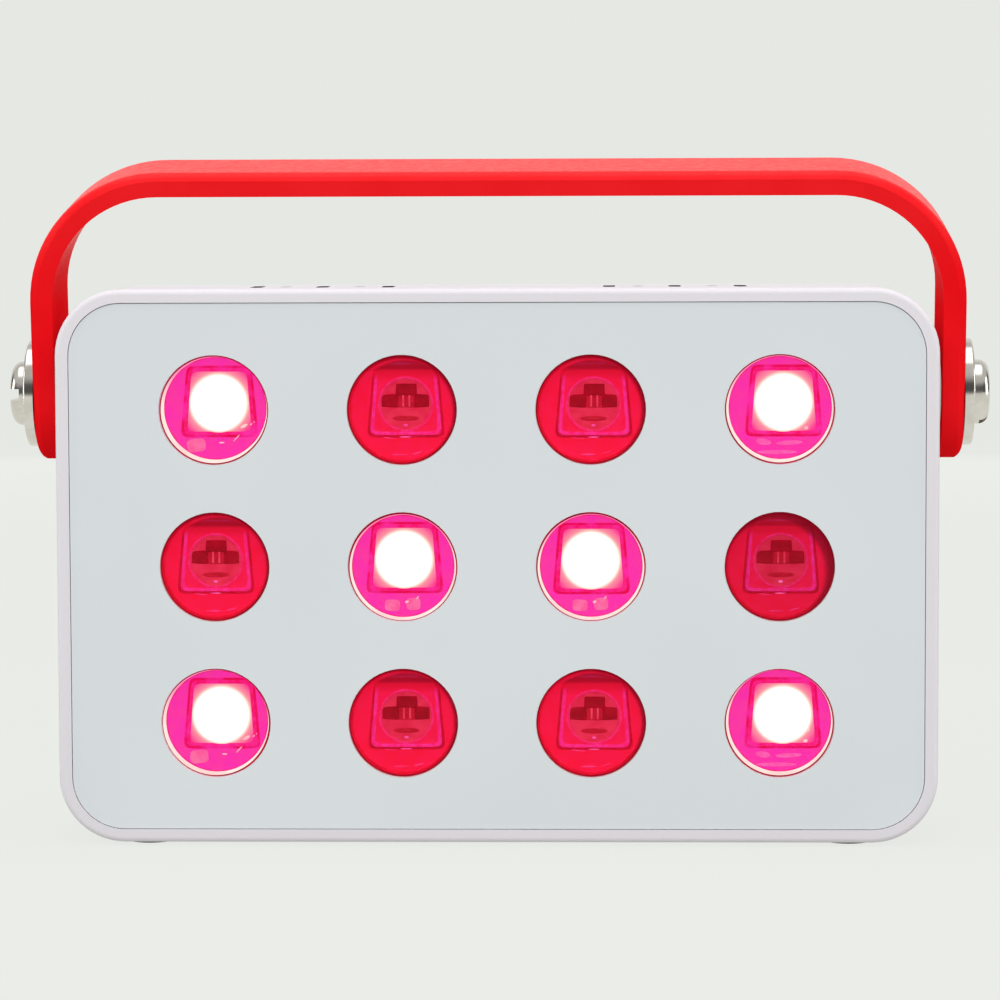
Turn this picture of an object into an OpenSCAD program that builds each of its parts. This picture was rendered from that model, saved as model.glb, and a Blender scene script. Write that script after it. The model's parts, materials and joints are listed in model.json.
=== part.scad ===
// Portable red-light panel lamp with a U-shaped strap handle that swings on two side screws.
// Frame: origin at the centre of the footprint, +X right, +Z up, and the lamp shines towards -Y.

/* [Housing] */
// Width of the housing
body_w = 200; // [198:1:230]
// Height of the housing
body_h = 126; // [126:1:150]
// Depth of the lamp, front ring to rear cover
body_d = 46; // [46:1:60]
// Corner radius of the housing
corner_r = 15; // [14:0.5:18]
// Width of the ring around the front plate, which is also the wall thickness
ring_w = 3; // [2.5:0.5:4]
// Rounding of the front edge of the ring
front_edge_r = 1.2; // [0.4:0.1:1.4]
// Rounding of the rear edge of the rear cover
rear_edge_r = 2; // [0.5:0.1:2.2]
// Thickness of the rear cover
cover_t = 2.4; // [2.4:0.1:3]

/* [Front plate and light windows] */
// Thickness of the front plate
plate_t = 2; // [1.5:0.1:2.5]
// Depth of the plate's face below the ring
plate_recess = 0.3; // [0.1:0.1:0.8]
// Gap between the plate and the ring
plate_gap = 0.15; // [0.05:0.05:0.3]
// Windows in a row
window_columns = 4; // [4:2:4]
// Rows of windows
window_rows = 3; // [3:2:3]
// Distance between windows along a row
pitch_x = 42.7; // [40:0.1:44]
// Distance between rows
pitch_z = 35.65; // [34:0.05:36]
// Diameter of a window
window_d = 25; // [22:0.1:25.4]

/* [Vents] */
// Width of the vents in the top and bottom walls
vent_d = 2.8; // [2:0.1:4]
// Length of the long vents, from front to back
vent_slot_l = 14; // [6:0.5:20]
// Distance from the centre of the lamp to each fan and its group of vents
fan_x = 40.6; // [40:0.1:46]

/* [Handle] */
// Height of the pivot above the bottom of the housing
pivot_up = 101.5; // [80:0.5:102]
// Lean of the handle towards the front at rest, in degrees
handle_lean = 8; // [0:1:30]
// Width of the strap
strap_w = 27; // [24:0.5:30]
// Thickness of the strap
strap_t = 5.3; // [4:0.1:7]
// Reach from the pivot to the inside of the carrying bar
strap_reach = 47.6; // [46:0.1:60]
// Inside radius of the strap's two bends
bend_r = 24.5; // [15:0.5:25]
// Radius of the softened outer edges of the strap
strap_edge_r = 3; // [2.5:0.1:3.5]
// How far the softened edge comes down the side of the strap
strap_edge_drop = 1.7; // [1:0.1:2.4]
// Distance from the pivot to the centre of the strap's rounded end
end_offset = 1.7; // [0:0.1:3]

/* [Pivot hardware] */
// Thickness of the nylon friction washer between housing and strap
friction_t = 1.3; // [0.8:0.1:2]
// Diameter of the metal pivot washer
pivot_washer_d = 24.6; // [18:0.1:26]
// Thickness of the metal pivot washer
pivot_washer_t = 2.3; // [1.5:0.1:3]
// Diameter of the pivot screw's head
pivot_head_d = 14.8; // [12:0.1:16]
// Height of the pivot screw's head
pivot_head_h = 3.9; // [3:0.1:4.5]
// Diameter of the smooth shoulder that the strap turns on
shoulder_d = 8; // [7:0.1:8]
// Angle of the right pivot screw's slot
right_slot_angle = 70; // [20:5:90]

/* [Rubber feet] */
// Height of the feet below the housing
foot_h = 0.8; // [0.5:0.1:3]
// Diameter of a foot
foot_d = 12; // [8:0.5:14]

/* [Fans] */
// Side of a square fan
fan_side = 50; // [50:1:50]
// Depth of a fan
fan_t = 10; // [10:0.5:11]
// Blades on a rotor
blade_count = 7; // [5:2:7]

/* [Hidden] */
$fn = 96;
small_fn = 32;                 // sides of a small circle

// Small distances shared by many parts
cut = 1;                       // how far a cutting solid passes a surface
slip = 0.1;                    // diametral clearance of a screw in its hole
screw_d = 3;
screw_head_d = 5.6;
screw_head_h = 2;
countersink_h = 1.4;
screw_end_gap = 3;             // left between a long screw's tip and the end of its hole
small_corner_r = 0.5;          // corner radius of small moulded parts

// Heights
face_z = foot_h + body_h / 2;  // centre of the face
pivot_z = foot_h + pivot_up;

// Depth levels: distance in front of the middle of the housing's depth
ring_front = body_d / 2;
plate_front = ring_front - plate_recess;
plate_back = plate_front - plate_t;
tape_t = 0.3;
ledge_front = plate_back - tape_t;
ledge_t = 1.8;
ledge_w = 2.5;
flange_t = 1.5;
lens_seat = plate_back - flange_t;
lens_to_board = 8.6;
board_t = 1.6;
led_board_front = lens_seat - lens_to_board;
led_board_back = led_board_front - board_t;
pad_t = 0.5;
sink_front = led_board_back - pad_t;
sink_base_t = 3;
sink_base_back = sink_front - sink_base_t;
fin_h = 6.5;
cover_back = -body_d / 2;
cover_front = cover_back + cover_t;
fan_front = cover_front + fan_t;
standoff_h = 12;
control_back = cover_front + standoff_h;
control_front = control_back + board_t;

// Housing
inner_w = body_w - 2 * ring_w;
inner_h = body_h - 2 * ring_w;
inner_r = corner_r - ring_w;
cover_post_d = 9;
cover_post_inset = 10;         // from the inner walls to the axis of a corner post
cover_post_h = 14;
cover_post_x = inner_w / 2 - cover_post_inset;
cover_post_y = inner_h / 2 - cover_post_inset;
sink_post_d = 7;
sink_post_x = 75;
sink_post_inset = 4.5;         // from the inner wall to the axis of a post
sink_post_y = inner_h / 2 - sink_post_inset;
sink_post_h = ledge_front - ledge_t - sink_front;
foot_recess = 0.5;
foot_x = 80;
foot_y = 13;
foot_edge_r = 0.4;
pivot_boss_d = 14;
pivot_boss_l = 8;

// Windows, lenses and light emitters
lens_neck_d = window_d - 0.3;
lens_neck_h = 0.9;
lens_flange_d = window_d + 1.6;
lens_front_rise = 0.9;
lens_rear_rise = 4.5;
lens_rear_d = window_d - 2;
holder_t = 1.2;
holder_w = 160;
holder_h = 102;
holder_cup_d = window_d + 4.4;
holder_bore_d = lens_rear_d + 1;
holder_seat_gap = 0.3;         // diametral, around a lens flange
wire_notch_w = 18;             // notch in the holder's lower edge for the wires
wire_notch_h = 3;
package_side = 5.4;
package_h = 0.9;
package_cup_d = 4.4;
package_cup_depth = 0.5;
chip_side = 1;
chip_h = 0.15;
chip_pitch = 1.5;
led_board_w = 166;
led_board_h = 103;
board_corner_r = 3;
board_inset = 1;               // margin of the thermal pad inside the board

// Which light is behind each window, row by row from the top: red (1) or infrared (0)
light_kind = [[1, 0, 0, 1], [0, 1, 1, 0], [1, 0, 0, 1]];

// Heat sink
sink_w = 172;
sink_h = 104;
fin_t = 1.2;
fin_pitch = 6;
fin_count = 28;
tab_w = 10;
tab_gap = 1;                   // between a tab of the heat sink and the housing wall
tab_reach = inner_h / 2 - tab_gap;
sink_thread_l = 2;             // how far the light board's screws reach into the base
sink_hole_l = 2.5;

// Vents: places along the row, from the middle of each group
vent_slots_x = [-15.1, 0, 15.1];
vent_holes_x = [-8.5, 8.5];

// Fans
fan_bore_d = 47;
fan_corner_r = 3;
fan_hole_offset = 20;
hub_d = 21;
rotor_d = 45.6;
rotor_gap = 0.7;
hub_plate_d = 23;
hub_plate_t = 1.5;
hub_gap = 0.4;                 // between the hub and the plate in front of it
hub_h = fan_t - hub_plate_t - rotor_gap - hub_gap;
hub_edge_r = 1;
strut_w = 3;
shaft_d = 2;
shaft_recess = 0.2;            // how far the shaft stops below the plate's outer face
diagonals = [45, 135];         // directions of the fans' struts and the grilles' spokes
blade_tilt = 35;
blade_chord = 9;
blade_t = 1.2;
grille_slot = 2.4;
grille_pitch = 4.4;
grille_rings = 5;
grille_first_r = 5;
spoke_w = 3;

// Control board and what stands on it
control_w = 28;
control_bottom = -52;
control_h = 74;
standoff_d = 6;
control_screw_d = 2.5;
standoff_places = [[-10.5, 18], [10.5, 18], [-10.5, -48], [10.5, -48]];
power_button_y = 8;
timer_button_y = -10;
socket_y = -38;
button_d = 9;
button_gap = 0.4;
button_proud = 0.6;
button_edge_r = 0.4;
button_flange_d = 11;
button_flange_t = 1;
button_travel = 0.5;
switch_side = 6;
switch_body_h = 4;
switch_stem_d = 3.4;
switch_gap = 0.1;              // left between a pressed button and its switch
socket_side = 9;
socket_collar_d = 7.4;
socket_bore_d = 5.6;
socket_pin_d = 2;
socket_depth = 9;
socket_pin_recess = 1;         // how far the pin stops inside the socket's mouth
coil_side = 7;
coil_h = 5;
coil_places = [[9.5, 8], [9.5, -1], [9.5, -10], [9.5, -19]];
capacitor_d = 6.3;
capacitor_h = 8;
capacitor_places = [[-9.5, 8], [-9.5, 0], [-9.5, -28]];
chip_places = [[-9, -12], [-9, -19]];
driver_chip = [5, 4, 1.5];

// Wires
wire_d = 1.2;
wire_bend_r = 2;
wire_inset = 2;                // from the edge of what a wire starts on to its start
led_wire_x = 6;

// Handle
strap_inner = body_w / 2 + friction_t;
strap_outer = strap_inner + strap_t;
bore_clearance = 0.1;
bar_half = strap_inner - bend_r;
leg_top = strap_reach - bend_r;
edge_width = sqrt(2 * strap_edge_r * strap_edge_drop - strap_edge_drop ^ 2);

// Pivot hardware
friction_d = 18;
washer_edge_r = 0.6;
head_edge_r = 2.4;
slot_w = 2.6;
slot_depth = 2.3;
thread_d = 6;
insert_d = 9;
insert_l = 10.4;
insert_sink = 0.1;

// ---- Helpers -------------------------------------------------------------

// Puts a part on the face: its Z becomes the distance in front of mid-depth
module on_face(depth = 0) {
    translate([0, 0, face_z]) rotate([90, 0, 0]) translate([0, 0, depth]) children();
}

// Rounded rectangle, centred
module rounded_rectangle(w, h, r) {
    square([w - 2 * r, h], center = true);
    square([w, h - 2 * r], center = true);
    for (sx = [-1, 1], sy = [-1, 1])
        translate([sx * (w / 2 - r), sy * (h / 2 - r)]) circle(r);
}

// Flat board with rounded corners
module board(w, h, r, t) {
    linear_extrude(t) rounded_rectangle(w, h, r);
}

// Sweeps a profile around a rounded rectangle. The profile's x is the distance
// from the corner's centre, so x = r lies on the outline; its y is the depth.
module rim(w, h, r) {
    for (i = [0:3]) {
        along = i % 2 == 0 ? h : w;
        across = i % 2 == 0 ? w : h;
        rotate([0, 0, 90 * i]) {
            translate([across / 2 - r, along / 2 - r]) rotate_extrude(angle = 90) children();
            translate([across / 2 - r, 0]) rotate([90, 0, 0])
                linear_extrude(along - 2 * r, center = true) children();
        }
    }
}

// Rectangle with one rounded corner, at its upper right
module one_round_corner(w, h, r) {
    square([w - r, h]);
    square([w, h - r]);
    translate([w - r, h - r]) intersection() {
        circle(r);
        square(r);
    }
}

// Spherical cap on a flat disc
module cap(d, rise) {
    sphere_r = (d ^ 2 / 4 + rise ^ 2) / (2 * rise);
    intersection() {
        translate([0, 0, rise - sphere_r]) sphere(sphere_r);
        cylinder(d = d, h = rise);
    }
}

// Disc whose top edge is rounded
module round_edge_disc(d, h, r) {
    rotate_extrude() one_round_corner(d / 2, h, r);
}

// Ring between two diameters
module ring(outer_d, inner_d, h) {
    difference() {
        cylinder(d = outer_d, h = h);
        translate([0, 0, -cut]) cylinder(d = inner_d, h = h + 2 * cut);
    }
}

// Cross recess for a small screw, sunk into the plane z = 0
module cross_recess() {
    recess_l = 3;
    recess_w = 0.7;
    recess_depth = 0.9;
    for (a = [0, 90]) rotate([0, 0, a])
        translate([0, 0, -recess_depth / 2 + cut / 2])
            cube([recess_l, recess_w, recess_depth + cut], center = true);
}

// Pan-head screw: head above z = 0, shank below
module pan_screw(d, l, head_d = screw_head_d, head_h = screw_head_h) {
    difference() {
        round_edge_disc(head_d, head_h, head_h / 2);
        translate([0, 0, head_h]) cross_recess();
    }
    translate([0, 0, -l]) cylinder(d = d, h = l);
}

// Countersunk screw: head flush with z = 0
module countersunk_screw(d, l) {
    difference() {
        translate([0, 0, -countersink_h])
            cylinder(d1 = d, d2 = screw_head_d, h = countersink_h);
        cross_recess();
    }
    translate([0, 0, -l]) cylinder(d = d, h = l - countersink_h);
}

// Hole for a countersunk screw whose head is flush with z = 0
module countersunk_hole(d, l) {
    translate([0, 0, -countersink_h])
        cylinder(d1 = d + slip, d2 = screw_head_d + slip, h = countersink_h);
    translate([0, 0, -l]) cylinder(d = d + slip, h = l + cut);
    cylinder(d = screw_head_d + slip, h = cut);
}

// Round wire that follows steps of [run, turn, roll]: it rolls about its own
// direction, runs straight, then turns towards its own +X.
module wire(steps, i = 0) {
    if (i < len(steps)) {
        run = steps[i][0];
        turn = steps[i][1];
        rotate([0, 0, steps[i][2]]) {
            cylinder(d = wire_d, h = run, $fn = small_fn);
            translate([0, 0, run]) {
                if (turn > 0)
                    translate([wire_bend_r, 0, 0]) rotate([90, 0, 0]) rotate([0, 0, 180 - turn])
                        rotate_extrude(angle = turn, $fn = small_fn)
                            translate([wire_bend_r, 0]) circle(d = wire_d);
                translate([wire_bend_r * (1 - cos(turn)), 0, wire_bend_r * sin(turn)])
                    rotate([0, turn, 0]) wire(steps, i + 1);
            }
        }
    }
}

// Copies its children to both sides, as a mirror image
module both_sides() {
    children();
    mirror([1, 0, 0]) children();
}

// Copies its children to the windows of one kind: 1 red, 0 infrared, -1 all
module at_windows(kind = -1) {
    for (row = [0:window_rows - 1], column = [0:window_columns - 1])
        if (kind < 0 || light_kind[row][column] == kind)
            translate([(column - (window_columns - 1) / 2) * pitch_x,
                ((window_rows - 1) / 2 - row) * pitch_z]) children();
}

// Copies its children to the screws that hold the light board
module at_board_screws() {
    for (x = [-pitch_x, 0, pitch_x], y = [-pitch_z / 2, pitch_z / 2])
        translate([x, y]) children();
}

// Copies its children to four mirrored places
module at_four(x, y) {
    for (sx = [-1, 1], sy = [-1, 1]) translate([sx * x, sy * y]) children();
}

// ---- Housing and covers --------------------------------------------------

module housing_profile() {
    translate([inner_r, cover_front])
        one_round_corner(ring_w, ring_front - cover_front, front_edge_r);
    translate([inner_r - ledge_w, ledge_front - ledge_t]) square([ledge_w + cut, ledge_t]);
}

module cover_posts() {
    translate([0, 0, cover_front]) linear_extrude(cover_post_h) intersection() {
        rounded_rectangle(inner_w + ring_w, inner_h + ring_w, corner_r - ring_w / 2);
        for (sx = [-1, 1], sy = [-1, 1])
            translate([sx * cover_post_x, sy * cover_post_y]) {
                circle(d = cover_post_d);
                translate([sx > 0 ? 0 : -cover_post_inset - cut, sy > 0 ? 0 : -cover_post_inset - cut])
                    square(cover_post_inset + cut);
            }
    }
}

module sink_posts() {
    for (sx = [-1, 1], sy = [-1, 1])
        translate([sx * sink_post_x, sy * sink_post_y, sink_front]) {
            cylinder(d = sink_post_d, h = sink_post_h + ledge_t / 2);
            translate([-sink_post_d / 2, sy > 0 ? 0 : -sink_post_d, 0])
                cube([sink_post_d, sink_post_d, sink_post_h + ledge_t / 2]);
        }
}

// Three long vents with a round hole between each two, over each fan
module vents(h) {
    for (side = [-1, 1]) {
        for (x = vent_slots_x, end = [-1, 1]) translate([side * fan_x + x, 0]) {
            translate([0, end * (vent_slot_l - vent_d) / 2]) cylinder(d = vent_d, h = h, $fn = small_fn);
            translate([-vent_d / 2, min(0, end * (vent_slot_l - vent_d) / 2)])
                cube([vent_d, (vent_slot_l - vent_d) / 2, h]);
        }
        for (x = vent_holes_x) translate([side * fan_x + x, 0]) cylinder(d = vent_d, h = h, $fn = small_fn);
    }
}

module housing() {
    color("#ebe7ed") difference() {
        union() {
            on_face() rim(body_w, body_h, corner_r) housing_profile();
            on_face() cover_posts();
            on_face() sink_posts();
            both_sides() translate([inner_w / 2 - pivot_boss_l, 0, pivot_z]) rotate([0, 90, 0])
                cylinder(d = pivot_boss_d, h = pivot_boss_l + ring_w / 2);
        }
        // Vents through the top and bottom walls
        for (wall_z = [foot_h, foot_h + body_h - ring_w]) translate([0, 0, wall_z - cut])
            vents(ring_w + 2 * cut);
        // Bores for the threaded inserts
        both_sides() translate([inner_w / 2 - pivot_boss_l - cut, 0, pivot_z]) rotate([0, 90, 0])
            cylinder(d = insert_d, h = pivot_boss_l + ring_w + 2 * cut);
        // Screw holes in the posts
        on_face(cover_front - cut) at_four(cover_post_x, cover_post_y)
            cylinder(d = screw_d + slip, h = cover_post_h - cut, $fn = small_fn);
        on_face(sink_front - cut) at_four(sink_post_x, sink_post_y)
            cylinder(d = screw_d + slip, h = sink_post_h, $fn = small_fn);
        // Seats of the feet
        translate([0, 0, foot_h - cut]) at_four(foot_x, foot_y)
            cylinder(d = foot_d + slip, h = foot_recess + cut);
    }
}

module front_plate() {
    color("#d5d9dc") on_face(plate_back) difference() {
        board(inner_w - 2 * plate_gap, inner_h - 2 * plate_gap, inner_r - plate_gap, plate_t);
        translate([0, 0, -cut]) at_windows() cylinder(d = window_d, h = plate_t + 2 * cut);
    }
}

module plate_tape() {
    tape_w = ledge_w - 2 * plate_gap;
    color("#3a3a3c") on_face(ledge_front)
        rim(inner_w - 2 * plate_gap, inner_h - 2 * plate_gap, inner_r - plate_gap)
            translate([inner_r - plate_gap - tape_w, 0]) square([tape_w, tape_t]);
}

module cover_profile() {
    mirror([0, 1]) translate([0, -cover_front]) one_round_corner(corner_r, cover_t, rear_edge_r);
}

// Round grille: ring-shaped slots, bridged by four spokes
module grille_slots() {
    translate([0, 0, cover_back - cut]) difference() {
        for (i = [0:grille_rings - 1]) {
            inner = grille_first_r + i * grille_pitch - grille_slot / 2;
            ring(2 * (inner + grille_slot), 2 * inner, cover_t + 2 * cut);
        }
        for (a = diagonals) rotate([0, 0, a])
            translate([0, 0, cover_t / 2 + cut])
                cube([2 * fan_side, spoke_w, cover_t + 4 * cut], center = true);
    }
}

module rear_cover() {
    lip_t = 1.5;
    lip_h = 2;
    lip_gap = 0.2;
    lip_x = 120;
    lip_y = 60;
    color("#ebe7ed") on_face() difference() {
        union() {
            rim(body_w, body_h, corner_r) cover_profile();
            translate([0, 0, cover_back])
                board(body_w - 2 * rear_edge_r, body_h - 2 * rear_edge_r, corner_r - rear_edge_r, cover_t);
            // Lips that centre the cover in the housing
            for (s = [-1, 1]) {
                translate([s * (inner_w / 2 - lip_gap - lip_t / 2), 0, cover_front])
                    linear_extrude(2 * lip_h, center = true) square([lip_t, lip_y], center = true);
                translate([0, s * (inner_h / 2 - lip_gap - lip_t / 2), cover_front])
                    linear_extrude(2 * lip_h, center = true) square([lip_x, lip_t], center = true);
            }
            for (p = standoff_places) translate([p[0], p[1], cover_front - cut])
                cylinder(d = standoff_d, h = standoff_h + cut);
        }
        for (s = [-1, 1]) translate([s * fan_x, 0]) {
            grille_slots();
            at_four(fan_hole_offset, fan_hole_offset) translate([0, 0, cover_back]) mirror([0, 0, 1])
                countersunk_hole(screw_d, cover_t + cut);
        }
        at_four(cover_post_x, cover_post_y) translate([0, 0, cover_back]) mirror([0, 0, 1])
            countersunk_hole(screw_d, cover_t + cut);
        for (y = [power_button_y, timer_button_y]) translate([0, y, cover_back - cut])
            cylinder(d = button_d + button_gap, h = cover_t + 2 * cut);
        translate([0, socket_y, cover_back - cut])
            cylinder(d = socket_collar_d + slip, h = cover_t + 2 * cut);
        for (p = standoff_places) translate([p[0], p[1], cover_front])
            cylinder(d = control_screw_d + slip, h = standoff_h + cut, $fn = small_fn);
    }
}

module rear_cover_screws() {
    color("#b9b9b4") on_face(cover_back) at_four(cover_post_x, cover_post_y) mirror([0, 0, 1])
        countersunk_screw(screw_d, cover_t + cover_post_h - screw_end_gap);
}

// ---- Lenses and light emitters -------------------------------------------

module lens() {
    translate([0, 0, lens_seat]) {
        cylinder(d = lens_flange_d, h = flange_t);
        cylinder(d = lens_neck_d, h = flange_t + lens_neck_h);
        translate([0, 0, flange_t + lens_neck_h]) cap(lens_neck_d, lens_front_rise);
        mirror([0, 0, 1]) cap(lens_rear_d, lens_rear_rise);
    }
}

module lenses_red() {
    color("#ff32aa") on_face() at_windows(1) lens();
}

module lenses_infrared() {
    color("#d8062c") on_face() at_windows(0) lens();
}

module lens_holder() {
    cup_h = plate_back - tape_t - led_board_front;
    color("#e9e9e6") on_face(led_board_front) difference() {
        union() {
            board(holder_w, holder_h, board_corner_r, holder_t);
            at_windows() cylinder(d = holder_cup_d, h = cup_h);
        }
        at_windows() {
            translate([0, 0, -cut]) cylinder(d = holder_bore_d, h = cup_h + 2 * cut);
            translate([0, 0, lens_to_board]) cylinder(d = lens_flange_d + holder_seat_gap, h = cup_h);
        }
        at_board_screws() translate([0, 0, -cut])
            cylinder(d = screw_d + slip, h = holder_t + 2 * cut, $fn = small_fn);
        translate([-wire_notch_w / 2, -holder_h / 2 - cut, -cut])
            cube([wire_notch_w, wire_notch_h + cut, holder_t + 2 * cut]);
    }
}

module led_package() {
    difference() {
        translate([-package_side / 2, -package_side / 2, 0])
            cube([package_side, package_side, package_h]);
        translate([0, 0, package_h - package_cup_depth])
            cylinder(d = package_cup_d, h = package_h);
    }
}

module led_chips() {
    at_four(chip_pitch / 2, chip_pitch / 2) translate([0, 0, package_h - package_cup_depth])
        linear_extrude(chip_h) square(chip_side, center = true);
}

module led_packages_red() {
    color("#f4f1ec") on_face(led_board_front) at_windows(1) led_package();
}

module led_packages_infrared() {
    color("#f4f1ec") on_face(led_board_front) at_windows(0) led_package();
}

module led_chips_red() {
    color("#ff4040") on_face(led_board_front) at_windows(1) led_chips();
}

module led_chips_infrared() {
    color("#5a1018") on_face(led_board_front) at_windows(0) led_chips();
}

module led_board() {
    color("#f2f2ee") on_face(led_board_back) difference() {
        board(led_board_w, led_board_h, board_corner_r, board_t);
        at_board_screws() translate([0, 0, -cut])
            cylinder(d = screw_d + slip, h = board_t + 2 * cut, $fn = small_fn);
    }
}

module thermal_pad() {
    color("#8fa3b5") on_face(sink_front) difference() {
        board(led_board_w - 2 * board_inset, led_board_h - 2 * board_inset, board_corner_r, pad_t);
        at_board_screws() translate([0, 0, -cut])
            cylinder(d = screw_d + slip, h = pad_t + 2 * cut, $fn = small_fn);
    }
}

module heat_sink() {
    color("#b8bcc0") on_face(sink_base_back) difference() {
        union() {
            translate([-sink_w / 2, -sink_h / 2, 0]) cube([sink_w, sink_h, sink_base_t]);
            for (sx = [-1, 1]) translate([sx * sink_post_x - tab_w / 2, -tab_reach, 0])
                cube([tab_w, 2 * tab_reach, sink_base_t]);
            for (i = [0:fin_count - 1])
                translate([(i - (fin_count - 1) / 2) * fin_pitch - fin_t / 2, -sink_h / 2, -fin_h])
                    cube([fin_t, sink_h, fin_h + sink_base_t / 2]);
        }
        at_board_screws() translate([0, 0, sink_base_t - sink_hole_l])
            cylinder(d = screw_d + slip, h = sink_hole_l + cut, $fn = small_fn);
        at_four(sink_post_x, sink_post_y) translate([0, 0, -cut])
            cylinder(d = screw_d + slip, h = sink_base_t + 2 * cut, $fn = small_fn);
    }
}

module led_board_screws() {
    screw_l = holder_t + board_t + pad_t + sink_thread_l;
    color("#b9b9b4") on_face(led_board_front + holder_t) at_board_screws()
        pan_screw(screw_d, screw_l);
}

module heat_sink_screws() {
    screw_l = 10;
    color("#b9b9b4") on_face(sink_base_back) at_four(sink_post_x, sink_post_y)
        mirror([0, 0, 1]) pan_screw(screw_d, screw_l);
}

// ---- Fans ----------------------------------------------------------------

// Fan frame: the hub plate and its struts are on the inner side
module fan_frame() {
    hub_plate_back = fan_front - hub_plate_t;
    difference() {
        translate([0, 0, cover_front]) board(fan_side, fan_side, fan_corner_r, fan_t);
        translate([0, 0, cover_front - cut]) difference() {
            cylinder(d = fan_bore_d, h = fan_t + 2 * cut);
            translate([0, 0, hub_plate_back - cover_front + cut]) {
                cylinder(d = hub_plate_d, h = fan_t);
                for (a = diagonals) rotate([0, 0, a])
                    translate([-fan_side, -strut_w / 2, 0]) cube([2 * fan_side, strut_w, fan_t]);
            }
        }
        translate([0, 0, hub_plate_back - cut])
            cylinder(d = shaft_d + slip, h = fan_t, $fn = small_fn);
        at_four(fan_hole_offset, fan_hole_offset) translate([0, 0, cover_front - cut])
            cylinder(d = screw_d + slip, h = fan_t + 2 * cut, $fn = small_fn);
    }
}

module fan_rotor() {
    rotor_back = cover_front + rotor_gap;
    blade_depth = hub_h / 2;
    translate([0, 0, rotor_back]) {
        mirror([0, 0, 1]) translate([0, 0, -hub_h]) round_edge_disc(hub_d, hub_h, hub_edge_r);
        cylinder(d = shaft_d, h = fan_t - rotor_gap - shaft_recess, $fn = small_fn);
        intersection() {
            cylinder(d = rotor_d, h = hub_h);
            for (i = [0:blade_count - 1]) rotate([0, 0, i * 360 / blade_count])
                translate([rotor_d / 4 + hub_d / 4, 0, blade_depth]) rotate([blade_tilt, 0, 0])
                    cube([rotor_d / 2, blade_chord, blade_t], center = true);
        }
    }
}

module left_fan_frame() {
    color("#26272b") on_face() translate([-fan_x, 0]) fan_frame();
}

module right_fan_frame() {
    color("#26272b") on_face() translate([fan_x, 0]) fan_frame();
}

module left_fan_rotor() {
    color("#303138") on_face() translate([-fan_x, 0]) fan_rotor();
}

module right_fan_rotor() {
    color("#303138") on_face() translate([fan_x, 0]) fan_rotor();
}

module fan_screws() {
    color("#b9b9b4") on_face(cover_back) for (s = [-1, 1]) translate([s * fan_x, 0])
        at_four(fan_hole_offset, fan_hole_offset) mirror([0, 0, 1])
            countersunk_screw(screw_d, cover_t + fan_t - screw_end_gap);
}

// ---- Control board -------------------------------------------------------

module control_board() {
    color("#1f6b45") on_face(control_back) difference() {
        translate([0, control_bottom + control_h / 2])
            board(control_w, control_h, board_corner_r / 2, board_t);
        for (p = standoff_places) translate([p[0], p[1], -cut])
            cylinder(d = control_screw_d + slip, h = board_t + 2 * cut, $fn = small_fn);
    }
}

module control_board_screws() {
    head_d = 4.6;
    head_h = 1.6;
    screw_l = 8;
    color("#b9b9b4") on_face(control_front) for (p = standoff_places) translate(p)
        pan_screw(control_screw_d, screw_l, head_d, head_h);
}

module driver_coils() {
    bobbin_d = 6;
    groove = 0.5;
    color("#4a4b50") on_face(control_back - coil_h) for (p = coil_places) translate(p)
        difference() {
            board(coil_side, coil_side, small_corner_r, coil_h);
            translate([0, 0, -cut]) ring(bobbin_d, bobbin_d / 2, groove + cut);
        }
}

module driver_capacitors() {
    color("#3b4a7a") on_face(control_back - capacitor_h) for (p = capacitor_places)
        translate(p) translate([0, 0, capacitor_h]) mirror([0, 0, 1])
            round_edge_disc(capacitor_d, capacitor_h, small_corner_r);
}

module driver_chips() {
    color("#202124") on_face(control_back - driver_chip[2]) for (p = chip_places)
        translate([p[0] - driver_chip[0] / 2, p[1] - driver_chip[1] / 2]) cube(driver_chip);
}

module button_switches() {
    stem_tip = cover_front + button_flange_t + button_travel + switch_gap;
    color("#202124") for (y = [power_button_y, timer_button_y]) on_face() translate([0, y]) {
        translate([0, 0, control_back - switch_body_h])
            board(switch_side, switch_side, small_corner_r, switch_body_h);
        translate([0, 0, stem_tip])
            cylinder(d = switch_stem_d, h = control_back - switch_body_h / 2 - stem_tip, $fn = small_fn);
    }
}

module power_socket() {
    color("#1c1c1f") on_face(cover_front) translate([0, socket_y]) difference() {
        union() {
            board(socket_side, socket_side, small_corner_r, standoff_h);
            translate([0, 0, -cover_t]) cylinder(d = socket_collar_d, h = cover_t + cut);
        }
        translate([0, 0, -cover_t - cut]) difference() {
            cylinder(d = socket_bore_d, h = socket_depth + cut);
            translate([0, 0, socket_pin_recess + cut])
                cylinder(d = socket_pin_d, h = socket_depth, $fn = small_fn);
        }
    }
}

// Push button: a cap through the cover and a flange that stays inside
module button(y) {
    cap_h = cover_t + button_proud;
    on_face(cover_front) translate([0, y]) {
        mirror([0, 0, 1]) round_edge_disc(button_d, cap_h, button_edge_r);
        cylinder(d = button_flange_d, h = button_flange_t);
    }
}

module power_button() {
    color("#c9ccd0") button(power_button_y);
}

module timer_button() {
    color("#c9ccd0") button(timer_button_y);
}

// ---- Wires ---------------------------------------------------------------

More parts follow.
